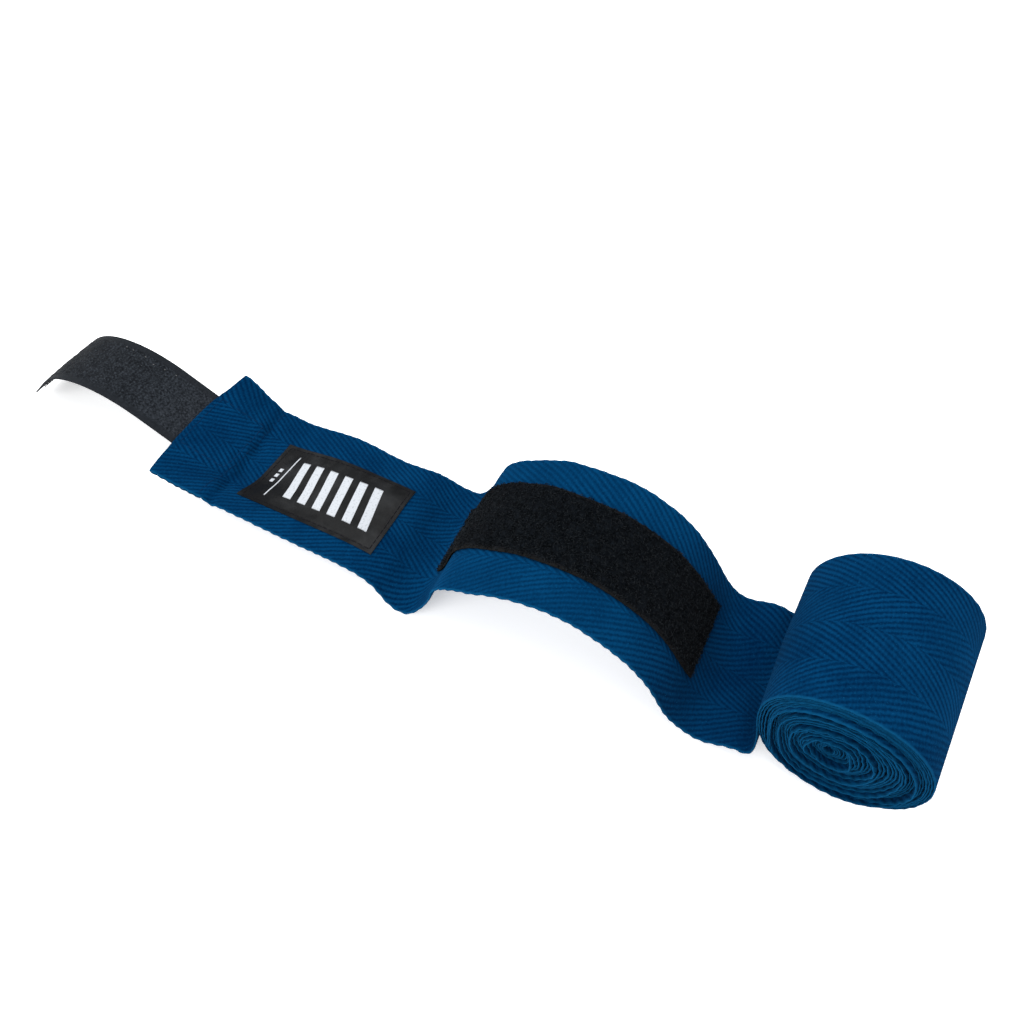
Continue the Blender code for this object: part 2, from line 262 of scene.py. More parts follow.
def edge_rises(v, u):
    """The rise and the spread of the open tape's sides."""
    rise, spread = 0 * v, 0 * v
    for middle, reach, side, start, height, outward in EDGE_RISES:
        weight = bump_at(v, middle, reach) * smooth(side * u, start, 25)
        rise = rise + height * weight
        spread = spread + outward * side * weight
    return rise, spread


def tape_relief(v, u):
    """How far the open tape's surface stands off its plain bent course."""
    from_end = V_END - v
    over_hem = from_end + 0.14 * u               # the folded-under end shows through askew
    corner = 5.2 * smooth(u, 6, 27) ** 1.5 * smooth(from_end, 18, 0)
    doubled = 0.8 * smooth(over_hem, 23.5, 19.5)
    crease = -0.85 * bump_at(over_hem, 22.6, 2.0)
    puckers = 0.5 * np.sin(2 * np.pi * (u + 0.5 * from_end) / 9.5) * bump_at(over_hem, 21.5, 5)
    inside_tail = np.minimum(STRAP_WIDTH / 2 + 0.8 - abs(u - STRAP_OFFSET), 19.6 - from_end)
    tail = 0.75 * smooth(inside_tail, -1.6, 1.2) - 0.35 * bump_at(inside_tail, 1.6, 0.8)
    slow = 0.3 * np.sin(v / 13.0 + u / 17.0) * np.sin(u / 11.0 + 1.0)
    edge = 0.07 * np.sin(2 * np.pi * v / 8.6 + np.sign(u) + np.sin(v / 23.0)) * smooth(abs(u), 20, 25)
    calm = smooth(v, 30, 45) * smooth(abs(v - V_VALLEY), 0, 12)
    shift = 1.3 * bump_at(v, 109, 10) * smooth(-u, -25, 20)
    for middle, reach, height in COURSE_SHIFTS:
        shift = shift + height * bump_at(v, middle, reach)
    return corner + doubled + crease + puckers + tail + shift + (slow + edge) * calm


def wound_relief(v, u):
    """Selvages of the wound turns ripple in and out."""
    ripple = np.sin(2 * np.pi * v / 4.1 + 2 * np.sin(v / 37.0) + np.sign(u))
    return 0.045 * ripple * smooth(abs(u), 22.8, 25) * smooth(v, -35, -60)


def settle_turns(points, v):
    """Flattens, bunches, loosens and shifts the turns of the roll, and closes its core at the ends."""
    local = points - ROLL_CENTRE
    x, y, z = local @ ROLL_ACROSS, local @ ROLL_AXIS, local @ Z
    radius, angle = np.hypot(x, z), np.mod(np.arctan2(z, x), 2 * np.pi)
    inner = smooth(radius, 22.7, 20.5) * (v < V_CLIMBED)
    left = bump_at(angle, math.radians(192), 0.62)
    outward = left * y / 25 * np.where(y < 0, ROLL_TAPER, ROLL_TAPER / 2) * smooth(v, -2, -14)
    outward = (outward + 0.9 * bump_at(angle, math.radians(50), 0.7)) * smooth(radius, 8, 22)
    bunch = 0.055 * np.sin(2 * np.pi * radius / 1.75 + 1.4 * np.sin(angle) + np.sin(2 * angle + 1))
    wavy = 0.30 * np.sin(3 * angle + radius / 2.6) + 0.16 * np.sin(5 * angle - radius / 1.9 + 1)
    wavy = wavy * smooth(radius, 22, 15) * smooth(radius, 3, 9)
    loose = -0.9 * left * smooth(radius, 22.9, 21.2) * smooth(radius, 11, 21)
    at_ends = smooth(abs(y), *END_ZONE)
    closing = -3.7 * at_ends * smooth(radius, *CLOSING)
    scale = 1 + (inner * (bunch + loose + wavy + closing) + outward) / np.maximum(radius, 1)
    core = (1 - np.clip(radius / ROLL_RADIUS, 0, 1)) ** 1.5 * (v < V_CLIMBED)
    x, z = x * scale + CORE_SHIFT[0] * core, z * scale + CORE_SHIFT[1] * core
    z = z + 0.36 * bump_at(angle, math.radians(270), 0.35) * smooth(radius, 10, 22) * (v < V_CLIMBED)
    axial = (0.28 * np.sin(2 * np.pi * radius / 1.83 + 1.0 + 0.9 * np.sin(angle))
             + 0.3 * np.sin(2 * np.pi * radius / 6.1 + 2.2)
             + 1.0 * smooth(radius, 10.5, 7.0) - 0.9 * smooth(radius, 6.9, 5.6))
    for groove in GROOVES:
        axial = axial - GROOVE_DEPTH * bump_at(radius + 0.35 * np.sin(angle + groove), groove, 0.5)
    y = y + axial * inner
    return ROLL_CENTRE + ROLL_ACROSS * x[..., None] + ROLL_AXIS * y[..., None] + Z * z[..., None]


def tape(v, u, h=0.0):
    """The world point at cloth coordinates v, u, h."""
    v, u, h = np.broadcast_arrays(np.asarray(v, float), u, h)
    centre, ruling, normal = tape_path.sample(v)
    skew = -0.06 * bump_at(v, V_VALLEY, 24) - 0.02 * smooth(v, V_END - 30, V_END)
    rise, spread = edge_rises(v, u)
    corner_pull = 3.2 * smooth(u, 8, 27) * smooth(V_END - v, 18, 0)
    strap_pull = -2.2 * (1 - (u / 25) ** 2) * smooth(V_END - v, 14, 0)
    along = skew * u + corner_pull + strap_pull
    relief = np.where(v > 0, tape_relief(v, u), wound_relief(v, u))
    points = (centre + ruling * (u + spread)[..., None] + X * along[..., None]
              + normal * (h + relief)[..., None] + Z * rise[..., None])
    above = TAPE_THICKNESS / 2 + 0.03 + np.maximum(h, 0) * normal[..., 2]
    resting = above + 0.12 * np.logaddexp(0, (points[..., 2] - above) / 0.12)
    points[..., 2] = np.where(v > V_CLIMBED, resting, points[..., 2])
    return np.where((v < 0)[..., None], settle_turns(points, v), points)


def strap_course():
    """The tail sewn into the hem, then a curve past the strap's bend lines."""
    tail = tape(V_END - 20, STRAP_OFFSET, -TAIL_DEPTH)
    held = tape(V_END - 3, STRAP_OFFSET, -TAIL_DEPTH)
    root, middle, tip = (pivot[name] + Y * STRAP_OFFSET for name in
                         ("strap_lift", "strap_straighten", "strap_tip_straighten"))
    root, tip = outwards(root, 0, 1.6), outwards(tip, 0.8, 0.1)
    end = outwards(tip, TIP_LENGTH * math.cos(TIP_DROP), -TIP_LENGTH * math.sin(TIP_DROP))
    line, knots = spline([tail, held, root, middle, tip, end])
    path = Path(line, np.tile(Y, (len(line), 1)))
    return path, path.v[knots]


strap_path, strap_knot_v = strap_course()


def strap(v, u, h=0.0):
    """The world point on the strap, whose outer half is slightly cupped."""
    return strap_path.strip(v, u, h - 0.0012 * u * u * smooth(v, 40, 70))


# ---- meshes

def link(name, data):
    item = bpy.data.objects.new(name, data)
    bpy.context.collection.objects.link(item)
    return item


def add_object(name, vertices, faces, material, uv, normals=None):
    """A mesh from millimetre points; uv holds cloth coordinates, normals one vector a vertex."""
    mesh = bpy.data.meshes.new(name)
    mesh.from_pydata((np.asarray(vertices) / 1000).tolist(), [], faces)
    mesh.polygons.foreach_set("use_smooth", [True] * len(faces))
    loops = np.empty(len(mesh.loops), int)
    mesh.loops.foreach_get("vertex_index", loops)
    layer = mesh.uv_layers.new(name="cloth")
    layer.data.foreach_set("uv", np.asarray(uv, np.float32)[loops].ravel())
    mesh.materials.append(material)
    if normals is not None:
        mesh.normals_split_custom_set(normals[loops].tolist())
    return link(name, mesh)


def sheet_mesh(middle, half, uv, raised=0.0):
    """Vertices, faces, uv and normals of a closed sheet round a grid of middle points.
    The grid's outermost rows only give the normals; half is 0 in the first and last column."""
    along, across = np.gradient(middle, axis=0), np.gradient(middle, axis=1)
    normals, across = unit(np.cross(across, along)), unit(across)
    middle, normals, across, uv = (table[1:-1] for table in (middle, normals, across, uv))
    raised = np.broadcast_to(raised, half.shape)[1:-1]
    half = half[1:-1]
    rows, columns = middle.shape[:2]
    top = middle + normals * (half + raised * (half > 0))[..., None]
    bottom = (middle - normals * half[..., None])[:, 1:-1]
    top_normals = normals.copy()
    top_normals[:, 0], top_normals[:, -1] = -across[:, 0], across[:, -1]
    upper = np.arange(rows * columns).reshape(rows, columns)
    lower = upper.copy()
    lower[:, 1:-1] = rows * columns + np.arange(rows * (columns - 2)).reshape(rows, -1)

    def quads(a, b, c, d):
        return np.stack([side.ravel() for side in (a, b, c, d)], 1).tolist()

    faces = quads(upper[:-1, :-1], upper[:-1, 1:], upper[1:, 1:], upper[1:, :-1])
    faces += quads(lower[:-1, :-1], lower[1:, :-1], lower[1:, 1:], lower[:-1, 1:])
    faces += quads(upper[0, :-1], lower[0, :-1], lower[0, 1:], upper[0, 1:])
    faces += quads(upper[-1, :-1], upper[-1, 1:], lower[-1, 1:], lower[-1, :-1])
    faces = [list(dict.fromkeys(face)) for face in faces]
    vertices = np.concatenate([top.reshape(-1, 3), bottom.reshape(-1, 3)])
    vertex_normals = np.concatenate([top_normals.reshape(-1, 3), -normals[:, 1:-1].reshape(-1, 3)])
    vertex_uv = np.concatenate([uv.reshape(-1, 2), uv[:, 1:-1].reshape(-1, 2)])
    return vertices, faces, vertex_uv, vertex_normals


def columns_for(width, thickness, spacing):
    """Stations across a sheet, close together at its rounded edges."""
    reach = width / 2
    edge = [0, 0.08 * thickness, 0.25 * thickness, 0.5 * thickness, 0.5 * thickness + 0.5]
    count = int((reach - edge[-1]) / spacing)
    inner = np.linspace(0, reach - edge[-1], count + 1)
    side = np.concatenate([inner, [reach - step for step in edge[-2::-1]]])
    return np.concatenate([-side[:0:-1], side])


def half_thickness(stations, thickness):
    reach = stations[-1]
    over = np.clip((abs(stations) - (reach - thickness / 2)) / (thickness / 2), 0, 1)
    half = thickness / 2 * np.sqrt(1 - over ** 2)
    half[[0, -1]] = 0
    return half


def scalloped(v, stations):
    """Stations across the tape at each v, with the selvages' small waves, which the roll's hide."""
    near = np.sin(2 * np.pi * v / SCALLOP_PERIOD + 1.6 * np.sin(v / 9.0))
    far = 0.6 * np.sin(2 * np.pi * v / SCALLOP_PERIOD + 2.0 + 1.6 * np.sin(v / 12.0))
    push = np.where(stations < 0, -near[:, None], far[:, None])
    depth = SCALLOP * (0.45 + 0.55 * smooth(v, -30, 0))[:, None]
    return stations + depth * push * smooth(abs(stations), 22.5, 25)


def steps_between(start, end, spacing):
    """Values from start to end, with one more before and after them for the normals."""
    count = max(2, int(round(abs(end - start) / spacing)))
    step = (end - start) / count
    return start + step * np.arange(-1, count + 2)


def cloth_strip(name, place, v_rows, h_rows, stations, thickness, material, uv_rows=None,
                scallops=False, offset=0.0, raised=0.0):
    u = scalloped(v_rows, stations) if scallops else np.tile(stations, (len(v_rows), 1))
    middle = place(v_rows[:, None], u + offset, np.broadcast_to(h_rows, v_rows.shape)[:, None])
    thickness = np.broadcast_to(thickness, v_rows.shape)
    half = np.stack([half_thickness(stations, one) for one in thickness])
    rows = v_rows if uv_rows is None else uv_rows
    uv = np.stack([u, np.broadcast_to(rows[:, None], u.shape)], -1)
    vertices, faces, uv, normals = sheet_mesh(middle, half, uv, raised)
    return add_object(name, vertices, faces, material, uv, normals)


def place_copies(name, points, sides, alongs, ups, base, faces, material):
    """One mesh of many copies of a small closed form, each in its own axes."""
    axes = np.stack([sides, alongs, ups], 1)
    vertices = (base[None] @ axes + points[:, None]).reshape(-1, 3)
    all_faces = [[corner + copy * len(base) for corner in face]
                 for copy in range(len(points)) for face in faces]
    uv = base[None, :, :2] + 7.3 * np.arange(len(points))[:, None, None]
    return add_object(name, vertices, all_faces, material, uv.reshape(-1, 2))


def tube_faces(rings, sides):
    """Faces of a closed tube, whose vertices go round each ring in turn."""
    count = rings * sides
    faces = [tuple(range(sides)), tuple(range(count - 1, count - sides - 1, -1))]
    for ring in range(0, count - sides, sides):
        for side in range(sides):
            a, b = ring + side, ring + (side + 1) % sides
            faces.append((a, a + sides, b + sides, b))
    return faces


def capsule(length, width, height, rings=7):
    """A rounded stitch along its own y, as vertices and faces."""
    sides = 6
    vertices, faces = [(0, -length / 2, 0)], []
    for ring in range(1, rings):
        y = -math.cos(math.pi * ring / rings)
        wide = (1 - y ** 4) ** 0.5
        for side in range(sides):
            angle = 2 * math.pi * side / sides
            vertices.append((wide * width / 2 * math.cos(angle), y * length / 2,
                             wide * height / 2 * math.sin(angle)))
    vertices.append((0, length / 2, 0))
    last = len(vertices) - 1
    for side in range(sides):
        after = (side + 1) % sides
        faces.append((0, 1 + side, 1 + after))
        for ring in range(rings - 2):
            a, b = 1 + ring * sides, 1 + (ring + 1) * sides
            faces.append((a + side, b + side, b + after, a + after))
        faces.append((last - sides + after, last - sides + side, last))
    return np.array(vertices), faces


def axes_at(place, v, u, h, direction=(1, 0)):
    """Points on a cloth with unit vectors to the side, along a (v, u) direction, and up."""
    dv, du = direction
    point = place(v, u, h)
    along = unit(place(v + 0.2 * dv, u + 0.2 * du, h) - point)
    aside = place(v - 0.2 * du, u + 0.2 * dv, h) - point
    up = unit(np.cross(aside, along))
    return point, np.cross(along, up), along, up


def stitch_points(corners, pitch):
    """Evenly spaced stitch middles along a polyline of (v, u) corners, with their directions."""
    corners = np.array(corners, float)
    found = []
    for start, step in zip(corners[:-1], np.diff(corners, axis=0)):
        length = np.linalg.norm(step)
        count = max(1, round(length / pitch))
        found += [(*(start + step * (number + 0.5) / count), *(step / length))
                  for number in range(count)]
    return np.array(found)


def stitches(name, place, rows, height, material, pitch=2.6, width=0.42):
    """Rows of thread lying in the cloth; each row is a polyline of (v, u) corners."""
    v, u, *direction = np.concatenate([stitch_points(row, pitch) for row in rows]).T
    u = u + random.uniform(-0.05, 0.05, len(u))
    return place_copies(name, *axes_at(place, v, u, height, direction),
                        *capsule(pitch * 0.86, width, 0.34), material)


# ---- materials

def set_inputs(node, **values):
    """Sets a node's sockets by name, with underscores for the spaces."""
    for socket, value in values.items():
        node.inputs[socket.replace("_", " ")].default_value = value


class Signal:
    """A number that varies over a material; arithmetic on it makes the nodes."""

    def __init__(self, tree, socket):
        self.tree, self.socket = tree, socket

    def apply(self, operation, *others):
        node = self.tree.nodes.new("ShaderNodeMath")
        node.operation = operation
        for entry, value in zip(node.inputs, (self, *others)):
            if isinstance(value, Signal):
                self.tree.links.new(value.socket, entry)
            else:
                entry.default_value = value
        return Signal(self.tree, node.outputs[0])

    __add__ = partialmethod(apply, "ADD")
    __sub__ = partialmethod(apply, "SUBTRACT")
    __mul__ = partialmethod(apply, "MULTIPLY")
    __abs__ = partialmethod(apply, "ABSOLUTE")

    def wave(self):
        """A cosine of this phase, from 0 to 1, whose period is 1."""
        return (self * (2 * math.pi)).apply("COSINE").apply("MULTIPLY_ADD", 0.5, 0.5)

    def ramp(self, low, high):
        """0 at low, 1 at high and smooth between them; low may be above high."""
        node = self.tree.nodes.new("ShaderNodeMapRange")
        node.interpolation_type = "SMOOTHSTEP"
        self.tree.links.new(self.socket, node.inputs["Value"])
        set_inputs(node, From_Min=low, From_Max=high)
        return Signal(self.tree, node.outputs["Result"])


class Shader:
    """A material round a Principled shader; u and v are its cloth coordinates."""

    def __init__(self, name, roughness, specular, **constants):
        self.material = bpy.data.materials.new(name)
        self.material.use_nodes = True
        self.tree = self.material.node_tree
        self.shader = self.tree.nodes["Principled BSDF"]
        set_inputs(self.shader, Roughness=roughness, Specular_IOR_Level=specular, **constants)
        coordinates = self.tree.nodes.new("ShaderNodeUVMap")
        coordinates.uv_map = "cloth"
        self.uv = coordinates.outputs[0]
        parts = self.tree.nodes.new("ShaderNodeSeparateXYZ")
        self.tree.links.new(self.uv, parts.inputs[0])
        self.u, self.v = Signal(self.tree, parts.outputs[0]), Signal(self.tree, parts.outputs[1])

    def noise(self, scale, detail, roughness=0.5):
        """Noise from about 0 to 1; scale is cells in a millimetre of cloth."""
        node = self.tree.nodes.new("ShaderNodeTexNoise")
        set_inputs(node, Scale=scale, Detail=detail, Roughness=roughness)
        self.tree.links.new(self.uv, node.inputs["Vector"])
        return Signal(self.tree, node.outputs["Fac"])

    def mix(self, share, a, b):
        """Colour a with a share of colour b."""
        node = self.tree.nodes.new("ShaderNodeMix")
        node.data_type = "RGBA"
        self.tree.links.new(share.socket, node.inputs[0])
        for entry, colour in ((node.inputs[6], a), (node.inputs[7], b)):
            if isinstance(colour, tuple):
                entry.default_value = (*colour, 1)
            else:
                self.tree.links.new(colour, entry)
        return node.outputs[2]

    def finish(self, colour, height, depth):
        """Colour, and a bump whose height of 1 stands depth millimetres proud."""
        self.tree.links.new(colour, self.shader.inputs["Base Color"])
        bump = self.tree.nodes.new("ShaderNodeBump")
        set_inputs(bump, Strength=1.0, Distance=depth / 1000)
        self.tree.links.new(height.socket, bump.inputs["Height"])
        self.tree.links.new(bump.outputs[0], self.shader.inputs["Normal"])
        return self.material


def woven_tape():
    """Herringbone twill: four columns of slanting ribs, each rib a rope of small floats."""
    s = Shader("herringbone_twill", roughness=0.95, specular=0.0, Sheen_Weight=0.04,
               Sheen_Roughness=0.5, Sheen_Tint=(0.1, 0.45, 1.0, 1.0))
    column_width, rib_pitch, slope, float_pitch = 12.5, 1.58, math.radians(28.5), 1.05
    wander = (s.noise(0.12, 1) - 0.5) * 0.9
    ripple = (s.noise(0.8, 3) - 0.5) * 0.75
    across = s.u + TAPE_WIDTH + ripple * 0.8
    column = across.apply("DIVIDE", column_width).apply("FLOOR")
    zigzag = across.apply("PINGPONG", column_width)
    along = s.v + wander + ripple
    rib_phase = (along * (math.sin(slope) / rib_pitch) + zigzag * (math.cos(slope) / rib_pitch)
                 + column * 0.5)
    float_phase = (along * (math.cos(slope) / float_pitch)
                   + zigzag * (-math.sin(slope) / float_pitch))
    rib = rib_phase.wave().apply("POWER", 0.8)
    jump = (s.noise(0.5, 2) - 0.5) * 2.2
    strand = (float_phase + jump + rib_phase * 0.5).wave()
    fuzz, patchy, fleck = s.noise(3.2, 3), s.noise(0.05, 2), s.noise(1.15, 4, roughness=0.75)
    clear = s.noise(0.07, 2).ramp(0.35, 0.65) * 0.5 + 0.6
    height = rib * (strand * 0.3 + 0.7) + (fuzz + fleck) * 0.45
    shade = rib * clear * 0.36 + (strand * 0.08 + patchy * 0.3) + fleck * 0.72
    colour = s.mix(shade.ramp(0.31, 1.17), (0.0, 0.0072, 0.029), (0.0010, 0.0340, 0.098))
    # painted light and shade: paler over the arch, where it faces the light, and darker where the tape
    # climbs from the lead onto the roll, in the roll's shade
    painted_arch_light = s.v.ramp(30, 55) * s.v.ramp(138, 118)
    painted_lead_shade = s.v.ramp(-45, -12) * s.v.ramp(24, 4)
    colour = s.mix(painted_arch_light * 0.11, colour, (0.0015, 0.052, 0.135))
    colour = s.mix(painted_lead_shade * 0.24, colour, (0.0, 0.0072, 0.034))
    selvage = abs(s.u).ramp(24.1, 24.9)
    colour = s.mix(selvage * 0.65, colour, (0.003, 0.061, 0.144))
    glint = s.noise(2.1, 2).ramp(0.66, 0.76) * 0.6
    colour = s.mix(glint, colour, (0.006, 0.075, 0.17))
    return s.finish(colour, height, 0.17)


def loop_pile():
    s = Shader("loop_pile", roughness=1.0, specular=0.01, Sheen_Weight=0.02,
               Sheen_Roughness=0.6, Sheen_Tint=(0.55, 0.5, 0.48, 1.0))
    curl, tuft = s.noise(1.5, 4, roughness=0.65), s.noise(0.45, 2)
    edge = abs(s.u).ramp(11.6, 13.0)
    fluff = curl.ramp(0.42, 0.72) * 0.6 + tuft.ramp(0.35, 0.7) * 0.4
    colour = s.mix(fluff, (0.0006, 0.0010, 0.0015), (0.0055, 0.0078, 0.0105))
    colour = s.mix(edge * 0.6, colour, (0.012, 0.0115, 0.011))
    # painted shade: the pile is darker towards the patch's end on the arch's right leg
    colour = s.mix(s.v.ramp(44, 20) * 0.5, colour, (0.0012, 0.0016, 0.0022))
    return s.finish(colour, curl + tuft * 0.7, 0.4)


def pile_thread():
    s = Shader("pile_thread", roughness=0.95, specular=0.02)
    shade = s.noise(0.8, 3)
    colour = s.mix(shade.ramp(0.35, 0.68), (0.0010, 0.0018, 0.0028), (0.0165, 0.0190, 0.0215))
    # painted shade: the loops are darker towards the patch's end on the arch's right leg
    colour = s.mix(s.v.ramp(44, 20) * 0.6, colour, (0.0010, 0.0016, 0.0024))
    return s.finish(colour, shade, 0.02)


def hook_tape():
    """The woven back of the hook strap, bumpy between two smooth selvages."""
    s = Shader("hook_tape", roughness=0.75, specular=0.05)
    inside = abs(s.u).ramp(10.8, 9.8)
    rough, coarse = s.noise(1.15, 4, roughness=0.7), s.noise(0.3, 2)
    jitter = s.noise(0.55, 2) * 3.5
    lumps = ((s.u + jitter) * (1 / 1.15)).wave() * ((s.v + jitter) * (1 / 1.5)).wave()
    weave = (s.u * 2.2).wave() * (s.v * 2.0).wave()
    height = inside * (lumps * 0.25 + rough * 1.5) + weave * 0.25
    tone = lumps * inside * 0.10 + (rough * 0.6 + coarse * 0.15)
    # painted light and shade: the strap is lighter near the hem and darker from its crest outwards
    tone = tone + s.v.ramp(50, 32) * 0.04 + s.v.ramp(60, 76) * -0.035
    colour = s.mix(tone.ramp(0.30, 0.58), (0.0030, 0.0040, 0.0056), (0.0280, 0.0330, 0.0405))
    colour = s.mix(inside * 0.7 + 0.3, (0.0105, 0.0125, 0.0155), colour)
    lit = s.noise(1.7, 2).ramp(0.66, 0.74) * (inside * 0.5)
    return s.finish(s.mix(lit, colour, (0.07, 0.075, 0.08)), height, 0.34)


def satin():
    s = Shader("black_satin", roughness=0.36, specular=0.10, Anisotropic=0.4)
    threads, crossing = (s.v * 3.3).wave(), (s.u * 2.6).wave()
    height = threads * 0.12 + (crossing * 0.06 + s.noise(0.16, 2) * 2.6)
    shine = threads * 0.15 + s.noise(0.085, 3).ramp(0.45, 0.78) * 0.85
    colour = s.mix(shine, (0.0006, 0.0008, 0.0012), (0.0120, 0.0128, 0.0140))
    return s.finish(colour, height, 0.12)


def thread(name, dark, light):
    s = Shader(name, roughness=0.85, specular=0.06)
    twist = s.noise(2.0, 2)
    return s.finish(s.mix(twist, dark, light), twist, 0.08)


def print_ink():
    s = Shader("label_print", roughness=0.6, specular=0.2)
    grain = s.noise(1.6, 3)
    colour = s.mix(grain.ramp(0.25, 0.5), (0.25, 0.27, 0.29), (0.42, 0.44, 0.47))
    return s.finish(colour, grain, 0.04)


def webbing():
    s = Shader("blue_webbing", roughness=0.85, specular=0.08)
    ribs = (s.u * (1 / 1.2)).wave() * (s.v * (1 / 0.9)).wave()
    return s.finish(s.mix(ribs, (0.0, 0.010, 0.036), (0.0008, 0.028, 0.086)), ribs, 0.15)


def moulded_hooks():
    s = Shader("moulded_hooks", roughness=0.4, specular=0.25)
    grain = s.noise(0.8, 2)
    return s.finish(s.mix(grain, (0.006, 0.007, 0.009), (0.016, 0.018, 0.021)), grain, 0.02)


twill, pile, strap_cloth, label_cloth = woven_tape(), loop_pile(), hook_tape(), satin()
black_thread = thread("black_thread", (0.002, 0.002, 0.003), (0.010, 0.010, 0.012))
blue_thread = thread("blue_thread", (0.0, 0.008, 0.031), (0.0006, 0.025, 0.078))


# ---- the tape

TAPE_STATIONS = columns_for(TAPE_WIDTH, TAPE_THICKNESS, 1.5)
# joint, the bodies before and after it, the knots where its piece starts and ends, and the
# stretch of cloth before and after the bend line
BENDS = (
    ("arch_flatten", "lead", "leg_right", 0, 1, 5.0, 7.5),
    ("arch_shoulder_right", "leg_right", "shoulder_right", 1, 2, 12.4, 10.8),
    ("arch_crown", "shoulder_right", "crown", 2, 3, 10.5, 11.6),
    ("arch_shoulder_left", "crown", "shoulder_left", 3, 4, 12.0, 11.2),
    ("arch_leg_left", "shoulder_left", "leg_left", 4, 5, 11.0, 12.4),
    ("arch_valley", "leg_left", "valley", 5, 6, 9.0, 3.2),
    ("label_panel_lift", "valley", "label_panel", 6, 8, 3.2, 5.0),
)


def blend(piece, before_body, after_body, start, end):
    """Bakes the piece's placement into its mesh."""
    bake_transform(piece)


def bend(piece, joint, before_body, after_body, before, after, place=tape, path=tape_path):
    """Finds a joint's bend line on the cloth and hands blend the points a stretch before and after it.
    """
    middle = v_nearest(joint, path)
    blend(piece, before_body, after_body, place(middle - before, 0.0), place(middle + after, 0.0))


def stand_for(piece, slot, *nodes):
    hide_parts(*nodes)


for joint, before_body, after_body, first_knot, last_knot, before, after in BENDS:
    v_rows = steps_between(knot_v[first_knot], knot_v[last_knot], 0.6)
    piece = cloth_strip("tape_cloth_" + after_body, tape, v_rows, 0.0, TAPE_STATIONS,
                        TAPE_THICKNESS, twill, scallops=True)
    bend(piece, joint, before_body, after_body, before, after)
    stand_for(piece, "blue_elastic_tape", "tape_" + after_body)

# the hem: the label panel's outer half, round the fold and back under it
sweep = np.linspace(0, np.pi, 11)[1:-1]
flat_rows = steps_between(knot_v[8], V_END, 0.6)[:-1]
under_rows = steps_between(V_END, V_END - FOLD_UNDER, 0.6)[1:]
hem_v = np.concatenate([flat_rows, V_END + FOLD_RADIUS * np.sin(sweep), under_rows])
hem_h = np.concatenate([0 * flat_rows, FOLD_RADIUS * (np.cos(sweep) - 1),
                        0 * under_rows - 2 * FOLD_RADIUS])
hem_uv = np.where(np.arange(len(hem_v)) < len(flat_rows), hem_v, 2 * V_END + FOLD_ARC - hem_v)
hem = cloth_strip("tape_cloth_hem", tape, hem_v, hem_h, TAPE_STATIONS, TAPE_THICKNESS, twill,
                  uv_rows=hem_uv, scallops=True)
bend(hem, "hem_lift", "label_panel", "hem", LABEL_GAP, 9.0)
stand_for(hem, "blue_elastic_tape", "tape_hem")

# the lead, the climb and a little over one outer turn
outer_turn = 1.06 * 2 * math.pi * (ROLL_RADIUS - TAPE_THICKNESS)
v_cut = V_CLIMBED - outer_turn
turn_rows = steps_between(v_cut, knot_v[0], 0.7)
turn_thickness = TAPE_THICKNESS + (WOUND_THICKNESS - TAPE_THICKNESS) * smooth(turn_rows, -8, -40)
lead = cloth_strip("tape_cloth_lead", tape, turn_rows, 0.0, TAPE_STATIONS, turn_thickness, twill,
                   scallops=True)
ground = np.array([*ROLL_CENTRE[:2], TAPE_THICKNESS / 2])
blend(lead, "roll", "lead", *(ground - reach * ROLL_ACROSS for reach in LIFT_ZONE))
stand_for(lead, "blue_elastic_tape", "tape_lead")

# the wound turns
from_selvage = np.array([0, 0.05, 0.18, 0.5, 1.1, 2.0, 3.4, 6.0, 12.0])
inwards = TAPE_WIDTH / 2 - from_selvage
wound_stations = np.concatenate([-inwards, [0], inwards[::-1]])
wound_start = tape_path.v[0] + 1
wound_rows = steps_between(wound_start, v_cut, 0.8)
from_axis = tape_path.sample(wound_rows)[0] - ROLL_CENTRE
wound_radius = np.hypot(from_axis @ ROLL_ACROSS, from_axis @ Z)
closed_share = np.clip((CLOSING[0] - wound_radius) / (CLOSING[0] - CLOSING[1]), 0, 1)
# the selvages swell where the closing core leaves more room between the turns
swelling = 0.88 * np.outer(closed_share * (1 - closed_share), smooth(abs(wound_stations), *END_ZONE))
wound = cloth_strip("tape_cloth_roll", tape, wound_rows, 0.0, wound_stations, WOUND_THICKNESS,
                    twill, scallops=True, raised=swelling)
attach(wound, "roll")
stand_for(wound, "blue_elastic_tape", "tape_roll")


# ---- loop patch

PATCH_BASE = TAPE_THICKNESS / 2 + 0.05
PATCH_PILE = 1.1
PATCH_START = 8.5             # from the foot's bend line up the right leg
PATCH_STOP = 2.2              # short of the valley's bend line
PILE_DENSITY = 2.6            # loops in a square millimetre
patch_stations = columns_for(STRAP_WIDTH, PATCH_PILE, 0.45)
patch_start, patch_end = V_FOOT + PATCH_START, V_VALLEY - PATCH_STOP
patch_knots = [patch_start, *knot_v[2:6], patch_end]
seam_reach = STRAP_WIDTH / 2 - 1.0


def loop_form():
    """One loop of the pile: a thin thread that arches over along its own y."""
    vertices, rings = [], 6
    for ring in range(rings):
        angle = math.pi * ring / (rings - 1)
        cosine, sine = math.cos(angle), math.sin(angle)
        middle = np.array([0.12 * math.sin(2 * angle), -0.42 * cosine, 0.55 * sine - 0.2])
        for side in range(3):
            turn = 2 * math.pi * side / 3
            outward = np.array([0, -cosine, sine]) * math.cos(turn) + X * math.sin(turn)
            vertices.append(middle + 0.085 * outward)
    return np.array(vertices), [face[::-1] for face in tube_faces(rings, 3)]


